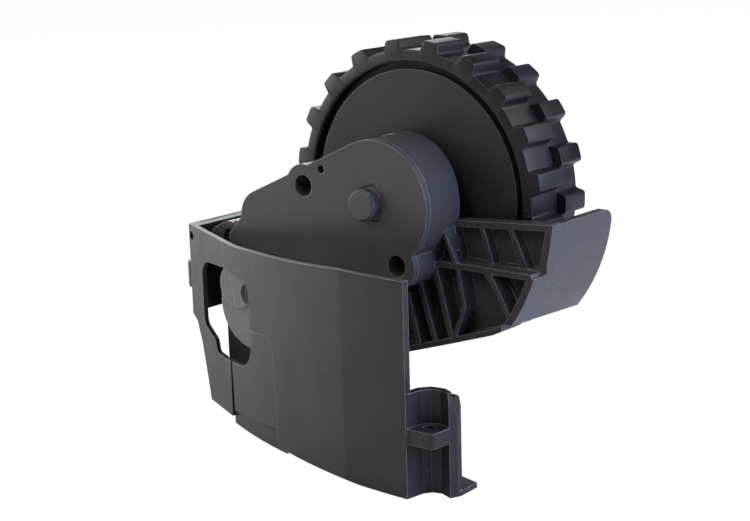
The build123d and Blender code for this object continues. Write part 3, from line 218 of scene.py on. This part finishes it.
def moulded(name, colour, cloud=0.09, roughness=0.38, grain=0.22, edge_highlight=0.95, dust=0.28, shade_band=None):
    """Moulded plastic with grain, faint tone clouds, dust and painted highlights
    along the edges. Painted shade, where given, is (line, depth, share)."""
    finish, shader, add, link = graph(name)
    place = add("TexCoord").outputs["Object"]

    # Broad, faint tone clouds where the melt met the mould.
    dark = tuple(c * (1 - cloud) for c in colour) + (1,)
    light = tuple(c * (1 + cloud) for c in colour) + (1,)
    clouds = ramp(add, 0.32, 0.68, dark, light)
    link(noise(add, link, place, Scale=38.0, Detail=3.0, Roughness=0.5), clouds.inputs["Fac"])
    skin = clouds.outputs["Color"]
    # Painted shade, where given: the skin on one side of a line is darker.
    if shade_band:
        skin = painted_right_shade(add, link, place, skin, *shade_band)

    # Painted highlights along the edges: paler, broken in patches.
    rounded, edges = edge_lines(add, link, radius=0.24, most=1.0)
    highlight_patches = ramp(add, 0.3, 0.55, grey(0.35), grey(1))
    link(noise(add, link, place, Scale=420.0, Detail=4.0, Roughness=0.6), highlight_patches.inputs["Fac"])
    patchy_highlight = add("Math", operation="MULTIPLY")
    link(edges, patchy_highlight.inputs[0])
    link(highlight_patches.outputs["Color"], patchy_highlight.inputs[1])
    patchy_highlight_share = add("Math", operation="MULTIPLY")
    patchy_highlight_share.inputs[1].default_value = edge_highlight
    link(patchy_highlight.outputs[0], patchy_highlight_share.inputs[0])
    patchy_highlight_gain = 2.4
    patchy_highlight_lift = 0.26
    pale = tuple(min(1, c * patchy_highlight_gain + patchy_highlight_lift) for c in colour) + (1,)
    skin = overlaid(add, link, patchy_highlight_share.outputs[0], skin, pale)

    # Dust.
    dusted = specks(
        add, link, place,
        patch_scale=90.0, patches_from=0.48, patches_to=0.85, largest=0.12, share=dust,
    )
    skin = overlaid(add, link, dusted, skin, (0.34, 0.34, 0.33, 1))
    link(skin, shader.inputs["Base Color"])

    # Handling makes the skin uneven in gloss.
    smears = ramp(add, 0.3, 0.7, grey(roughness - 0.07), grey(roughness + 0.09))
    link(noise(add, link, place, Scale=95.0, Detail=5.0, Roughness=0.62), smears.inputs["Fac"])
    link(smears.outputs["Color"], shader.inputs["Roughness"])

    # Spark-eroded grain.
    pits = noise(add, link, place, Scale=5200.0, Detail=2.0, Roughness=0.6)
    relief(add, link, shader, pits, rounded, strength=grain, depth=0.02)
    return finish


def dress(finish, *names):
    """Gives CAD nodes their material."""
    for name in names:
        slots = parts[name].data.materials
        slots.clear()
        slots.append(finish)


housing_grey = (0.0355, 0.0323, 0.0315)
insert_grey = tuple(c * 1.03 for c in housing_grey)
# Painted shade: the panel's skin right of this line is darkened where its flatter right part turns
# from the light.
panel_shade_line = -21.1
panel_depth = 5.0
right_shade_darker = 0.45
right_shade_band = (panel_shade_line, panel_depth, right_shade_darker)
dress(moulded("housing_abs", housing_grey, roughness=0.5, shade_band=right_shade_band), "housing_frame")
dress(moulded("panel_insert_abs", insert_grey, roughness=0.5), "panel_insert")


# Arm shell: gearbox cover and case, moulded in the same ABS from a second
# mould, a shade lighter and glossier. The mudguard is part of the case, and
# screws close the two halves round the gears.
case_grey = (0.068, 0.064, 0.0645)
cover_grey = tuple(c * 1.05 for c in case_grey)
dress(moulded("gearbox_cover_abs", cover_grey, roughness=0.36, grain=0.2), "gearbox_cover")
dress(moulded("gearbox_case_abs", case_grey, roughness=0.27, grain=0.09), "gearbox_case")


# Axle bushes: acetal, dark in front, where the nose shows through its keyed seat
# in the cover, and natural behind, pressed in the case's back wall. The natural
# one is dressed with the gears, which are of the same stuff.
bush_grey = (0.08, 0.079, 0.079)
bush_finish = moulded("front_bush_acetal", bush_grey, roughness=0.34, grain=0.1, dust=0.2)
dress(bush_finish, "axle_bush_front")


# Gears: natural acetal, cream and slightly waxy, moulded. They run inside the
# shell and are pressed on or turn on steel pins.
gear_cream = (0.72, 0.69, 0.6)
gear_finish = moulded(
    "gear_acetal", gear_cream, cloud=0.05, roughness=0.3, grain=0.06, edge_highlight=0.15, dust=0.05,
)
dress(gear_finish, "reduction_gear_1", "reduction_gear_2", "output_gear", "axle_bush_rear")


# Steel pieces: ground pins and axle, drawn spring wire, plated screws and the
# switch's lever. Fine turned lines run round them and break the reflection.
def machined(name, colour, roughness=0.3, lines=900.0, tarnish=0.12):
    """Machined or drawn metal with fine lines and faint tarnish."""
    finish, shader, add, link = graph(name)
    shader.inputs["Metallic"].default_value = 1.0
    place = add("TexCoord").outputs["Object"]
    dull = tuple(c * (1 - tarnish) for c in colour) + (1,)
    tone = ramp(add, 0.35, 0.7, dull, colour + (1,))
    link(noise(add, link, place, Scale=160.0, Detail=4.0), tone.inputs["Fac"])
    link(tone.outputs["Color"], shader.inputs["Base Color"])
    turned = add(
        "TexWave", wave_type="BANDS", bands_direction="Y",
        Scale=lines, Distortion=1.5, Detail=2.0,
    )
    link(place, turned.inputs["Vector"])
    sheen = ramp(add, 0.0, 1.0, grey(roughness - 0.06), grey(roughness + 0.1))
    link(turned.outputs["Fac"], sheen.inputs["Fac"])
    link(sheen.outputs["Color"], shader.inputs["Roughness"])
    rounded = add("Bevel", samples=4, Radius=0.12 * MM).outputs["Normal"]
    relief(add, link, shader, turned.outputs["Fac"], rounded, strength=0.12, depth=0.01)
    return finish


ground_steel = machined("ground_steel", (0.58, 0.58, 0.59), roughness=0.22)
dress(ground_steel, "pivot_pin", "gear_pins", "axle")
dress(machined("spring_wire", (0.42, 0.42, 0.43)), "arm_spring")
dress(machined("lever_strip", (0.6, 0.59, 0.56), roughness=0.28), "switch_lever")
dress(
    machined("plated_screw", (0.5, 0.51, 0.53), roughness=0.32),
    "gearbox_screws", "motor_screws", "switch_screws", "wheel_screw", "wheel_washer",
)


# Motor: a drawn steel can, blackened, with a moulded grey cap toward the
# window. Tags and pinion are tinned brass; the socket is natural nylon. Inside
# are ferrite magnets and an iron rotor.
can_steel = (0.2, 0.2, 0.21)
cap_grey = (0.175, 0.168, 0.163)
tinned_brass = (0.68, 0.6, 0.42)
socket_cream = (0.66, 0.63, 0.55)
ferrite_black = (0.04, 0.04, 0.042)
rotor_iron = (0.34, 0.3, 0.26)
dress(machined("motor_can_steel", can_steel, roughness=0.4, lines=500.0), "motor_can")
dress(
    moulded("motor_cap_plastic", cap_grey, roughness=0.4, grain=0.1, dust=0.25),
    "motor_end_cap",
)
dress(machined("tinned_brass", tinned_brass), "motor_terminals", "motor_pinion")
dress(
    moulded("socket_nylon", socket_cream, cloud=0.05, roughness=0.36, edge_highlight=0.1, dust=0.1),
    "motor_connector",
)
dress(moulded("ferrite", ferrite_black, roughness=0.5, grain=0.4, dust=0.0), "motor_magnets")
dress(
    machined("rotor_iron", rotor_iron, roughness=0.45, lines=2600.0, tarnish=0.3),
    "motor_rotor",
)


# Switch body: a moulding of glass-filled nylon, near black. Two screws hold it
# to the plate of the housing's pivot ear.
dress(moulded("switch_nylon", (0.026, 0.026, 0.027), roughness=0.45), "switch_body")


# Wheel hub: ABS, near black and satin, moulded in one with its six spokes. It
# slides on the axle's flats under a washer and screw.
hub_black = (0.026, 0.0255, 0.0255)
hub_finish = moulded("wheel_abs", hub_black, cloud=0.1, roughness=0.4, grain=0.18, dust=0.45)
dress(hub_finish, "wheel_hub")


# Tyre: moulded rubber, near black and faintly blue, stretched over the hub's
# barrel. Its lugs stand in two rows, the far row half a pitch behind the near
# one, and their edges carry paler painted highlights.
def rubber(name, colour):
    """Moulded rubber: matt, finely pitted, with bloom, dust and painted edge highlights."""
    finish, shader, add, link = graph(name)
    place = add("TexCoord").outputs["Object"]
    bloom = noise(add, link, place, Scale=70.0, Detail=4.0, Roughness=0.6)
    dark = tuple(c * 0.8 for c in colour) + (1,)
    pale = tuple(c * 1.45 for c in colour) + (1,)
    tone = ramp(add, 0.35, 0.72, dark, pale)
    link(bloom, tone.inputs["Fac"])
    dusted = specks(
        add, link, place,
        patch_scale=120.0, patches_from=0.56, patches_to=0.82, largest=0.13, share=0.3,
    )
    skin = overlaid(add, link, dusted, tone.outputs["Color"], grey(0.3))
    rounded, edges = edge_lines(add, link, radius=0.16, most=0.8)
    # Painted highlights: the edges are paler and a little blue.
    skin = overlaid(add, link, edges, skin, (0.2, 0.205, 0.23, 1))
    link(skin, shader.inputs["Base Color"])
    matt = ramp(add, 0.3, 0.7, grey(0.36), grey(0.52))
    link(bloom, matt.inputs["Fac"])
    link(matt.outputs["Color"], shader.inputs["Roughness"])
    pores = noise(add, link, place, Scale=2600.0, Detail=3.0)
    relief(add, link, shader, pores, rounded, strength=0.35, depth=0.03)
    return finish


tyre_front = tyre_low.y / MM
tyre_back = tyre_high.y / MM
tyre_middle_x = axle_end.x / MM
tyre_middle_z = axle_end.z / MM
tyre_crown = (tyre_high.x - tyre_low.x) / 2 / MM
lug_height = 2.4
sidewall_height = 5.2
tread_floor = tyre_crown - lug_height
sidewall_bore = tyre_crown - sidewall_height
barrel_seat = tyre_crown - 6.0
back_bead = tyre_crown - 7.0
back_bead_width = 1.0
lip_width = 3.3
near_row_width = 9.6
row_gap = 0.3
lugs_in_row = 20
lug_spacing = 360 / lugs_in_row
near_lug_angle = 8.5
far_row_lag = 1.5
far_lug_angle = near_lug_angle + lug_spacing / 2 - far_row_lag
closest_angles = 0.12
# Half of a lug seen from the side: angle from its middle, and height over the
# tread's floor. The foot is filleted and the crown's corners are round.
half_lug = [
    (0.0, lug_height), (1.6, lug_height), (2.5, 2.38), (3.0, 2.28), (3.35, 2.05),
    (3.6, 1.7), (4.15, 0.6), (4.4, 0.25), (4.75, 0.06), (5.3, 0.0),
]
# Round corners of the section, each point as its distances along and up or
# down from the sharp corner.
lip_mouth = [(0.7, 0.0), (0.25, 0.12), (0.0, 0.5)]
front_corner = [(0.0, 0.2), (0.06, 0.06), (0.2, 0.0)]
row_groove = [(0.08, 0.1), (0.22, 0.1)]
back_corner = [(0.35, 0.0), (0.1, 0.1), (0.0, 0.35)]


def tread_height(angle, first_lug):
    """Height of a row's outline over the tread's floor at an angle."""
    off = abs((angle - first_lug + lug_spacing / 2) % lug_spacing - lug_spacing / 2)
    for (near, high), (far, low) in zip(half_lug, half_lug[1:]):
        if off <= far:
            return high + (low - high) * (off - near) / (far - near)
    return 0.0


def tread_angles():
    """Every angle where either row's outline turns, in order."""
    angles = set()
    for first_lug in (near_lug_angle, far_lug_angle):
        for lug in range(lugs_in_row):
            for off, _ in half_lug:
                for side in (-1, 1):
                    angles.add(round((first_lug + lug * lug_spacing + side * off) % 360, 3))
    kept = []
    for angle in sorted(angles):
        if not kept or angle - kept[-1] > closest_angles:
            kept.append(angle)
    return kept


def tyre_section(angle):
    """The tyre's closed section at an angle: (distance along the axle, radius)."""
    near = tread_floor + tread_height(angle, near_lug_angle)
    far = tread_floor + tread_height(angle, far_lug_angle)
    row_end = tyre_front + near_row_width
    return [
        (tyre_front + lip_width, sidewall_bore),
        *[(tyre_front + along, sidewall_bore + up) for along, up in lip_mouth],
        *[(tyre_front + along, near - down) for along, down in front_corner],
        (row_end, near),
        *[(row_end + along, tread_floor - down) for along, down in row_groove],
        (row_end + row_gap, far),
        *[(tyre_back - along, far - down) for along, down in back_corner],
        (tyre_back, back_bead),
        (tyre_back - back_bead_width, back_bead),
        (tyre_back - back_bead_width, barrel_seat),
        (tyre_front + lip_width, barrel_seat),
    ]


def turned_ring(name, angles, section):
    """A ring whose section may change round its axle."""
    corners = []
    for angle in angles:
        turn = math.radians(angle)
        for along, radius in section(angle):
            corners.append((
                (tyre_middle_x + radius * math.cos(turn)) * MM,
                along * MM,
                (tyre_middle_z + radius * math.sin(turn)) * MM,
            ))
    faces = []
    steps = len(section(angles[0]))
    for spoke in range(len(angles)):
        onward = (spoke + 1) % len(angles)
        for step in range(steps):
            after = (step + 1) % steps
            faces.append((
                spoke * steps + step,
                spoke * steps + after,
                onward * steps + after,
                onward * steps + step,
            ))
    mesh = bpy.data.meshes.new(name)
    mesh.from_pydata(corners, [], faces)
    mesh.shade_smooth()
    mesh.set_sharp_from_angle(angle=math.radians(32))
    mesh.validate()
    ring = bpy.data.objects.new(name, mesh)
    bpy.context.scene.collection.objects.link(ring)
    return ring


moulded_tyre = turned_ring("moulded_tyre", tread_angles(), tyre_section)
moulded_tyre.data.materials.append(rubber("tread_rubber", (0.013, 0.0135, 0.0165)))
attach(moulded_tyre, "wheel")
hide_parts("tyre")


# Floor and light: a pale tabletop in a room with windows behind and on the
# right, a doorway and a lamp on the left and the room's warm light in front. The
# camera sees the table and the air as plain white, with a faint shadow in it.
table_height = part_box("housing_frame")[0].z
table_half = 3.0
table_mesh = bpy.data.meshes.new("table")
table_mesh.from_pydata(
    [
        (-table_half, -table_half, table_height),
        (table_half, -table_half, table_height),
        (table_half, table_half, table_height),
        (-table_half, table_half, table_height),
    ],
    [],
    [(0, 1, 2, 3)],
)
table = bpy.data.objects.new("table", table_mesh)
bpy.context.scene.collection.objects.link(table)
table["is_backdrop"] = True

table_white = 1.06
table_white_share = 0.93
tabletop, top_shader, add, link = graph("pale_table")
top_shader.inputs["Base Color"].default_value = grey(0.8)
top_shader.inputs["Roughness"].default_value = 0.9
ray = add("LightPath")
white = add("Emission", Strength=table_white)
seen = add("MixShader")
seen_share = add("Math", operation="MULTIPLY")
seen_share.inputs[1].default_value = table_white_share
link(ray.outputs["Is Camera Ray"], seen_share.inputs[0])
link(seen_share.outputs[0], seen.inputs["Fac"])
link(top_shader.outputs[0], seen.inputs[1])
link(white.outputs[0], seen.inputs[2])
link(seen.outputs[0], tabletop.node_tree.nodes["Material Output"].inputs["Surface"])
table_mesh.materials.append(tabletop)

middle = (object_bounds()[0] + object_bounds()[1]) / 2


def window(name, place, size, watts, colour):
    """A soft rectangular light aimed at the middle of the object."""
    pane = bpy.data.lights.new(name, "AREA")
    pane.shape = "RECTANGLE"
    pane.size, pane.size_y = size
    pane.energy = watts
    pane.color = colour
    holder = bpy.data.objects.new(name, pane)
    holder.location = place
    holder.rotation_mode = "QUATERNION"
    holder.rotation_quaternion = (middle - Vector(place)).to_track_quat("-Z", "Y")
    bpy.context.scene.collection.objects.link(holder)


window("right_window", (0.75, 0.25, 0.35), (0.5, 0.6), 3.25, (0.93, 0.95, 1.0))
window("right_blind", (0.35, 0.05, 0.2), (0.3, 0.3), 1.25, (0.3, 0.5, 1.0))
window("back_window", (-0.7, 0.55, 0.5), (0.6, 0.6), 5.6, (0.88, 0.96, 1.0))
window("far_corner", (0.5, 0.65, 0.6), (0.6, 0.6), 1.4, (1.0, 0.75, 0.6))
window("room_front", (-0.08, -0.72, 0.8), (0.6, 0.6), 3.5, (1.0, 0.89, 0.82))
window("left_slit", (-0.55, -0.15, 0.15), (0.08, 0.5), 0.9, (1.0, 0.95, 0.88))
window("left_door", (-0.75, 0.1, 0.12), (0.3, 0.3), 0.9, (1.0, 0.96, 0.92))
window("left_lamp", (-0.27, -0.1, 0.16), (0.1, 0.2), 0.28, (1.0, 0.95, 0.88))

world = bpy.data.worlds.new("air")
bpy.context.scene.world = world
world.use_nodes = True
air = world.node_tree
soft = air.nodes["Background"]
soft.inputs["Color"].default_value = grey(1)
soft.inputs["Strength"].default_value = 0.02
bright = air.nodes.new("ShaderNodeBackground")
bright.inputs["Color"].default_value = grey(1)
bright.inputs["Strength"].default_value = 1.0
sight = air.nodes.new("ShaderNodeLightPath")
choose = air.nodes.new("ShaderNodeMixShader")
air.links.new(sight.outputs["Is Camera Ray"], choose.inputs["Fac"])
air.links.new(soft.outputs[0], choose.inputs[1])
air.links.new(bright.outputs[0], choose.inputs[2])
air.links.new(choose.outputs[0], air.nodes["World Output"].inputs["Surface"])

bpy.context.scene.view_settings.view_transform = "Standard"
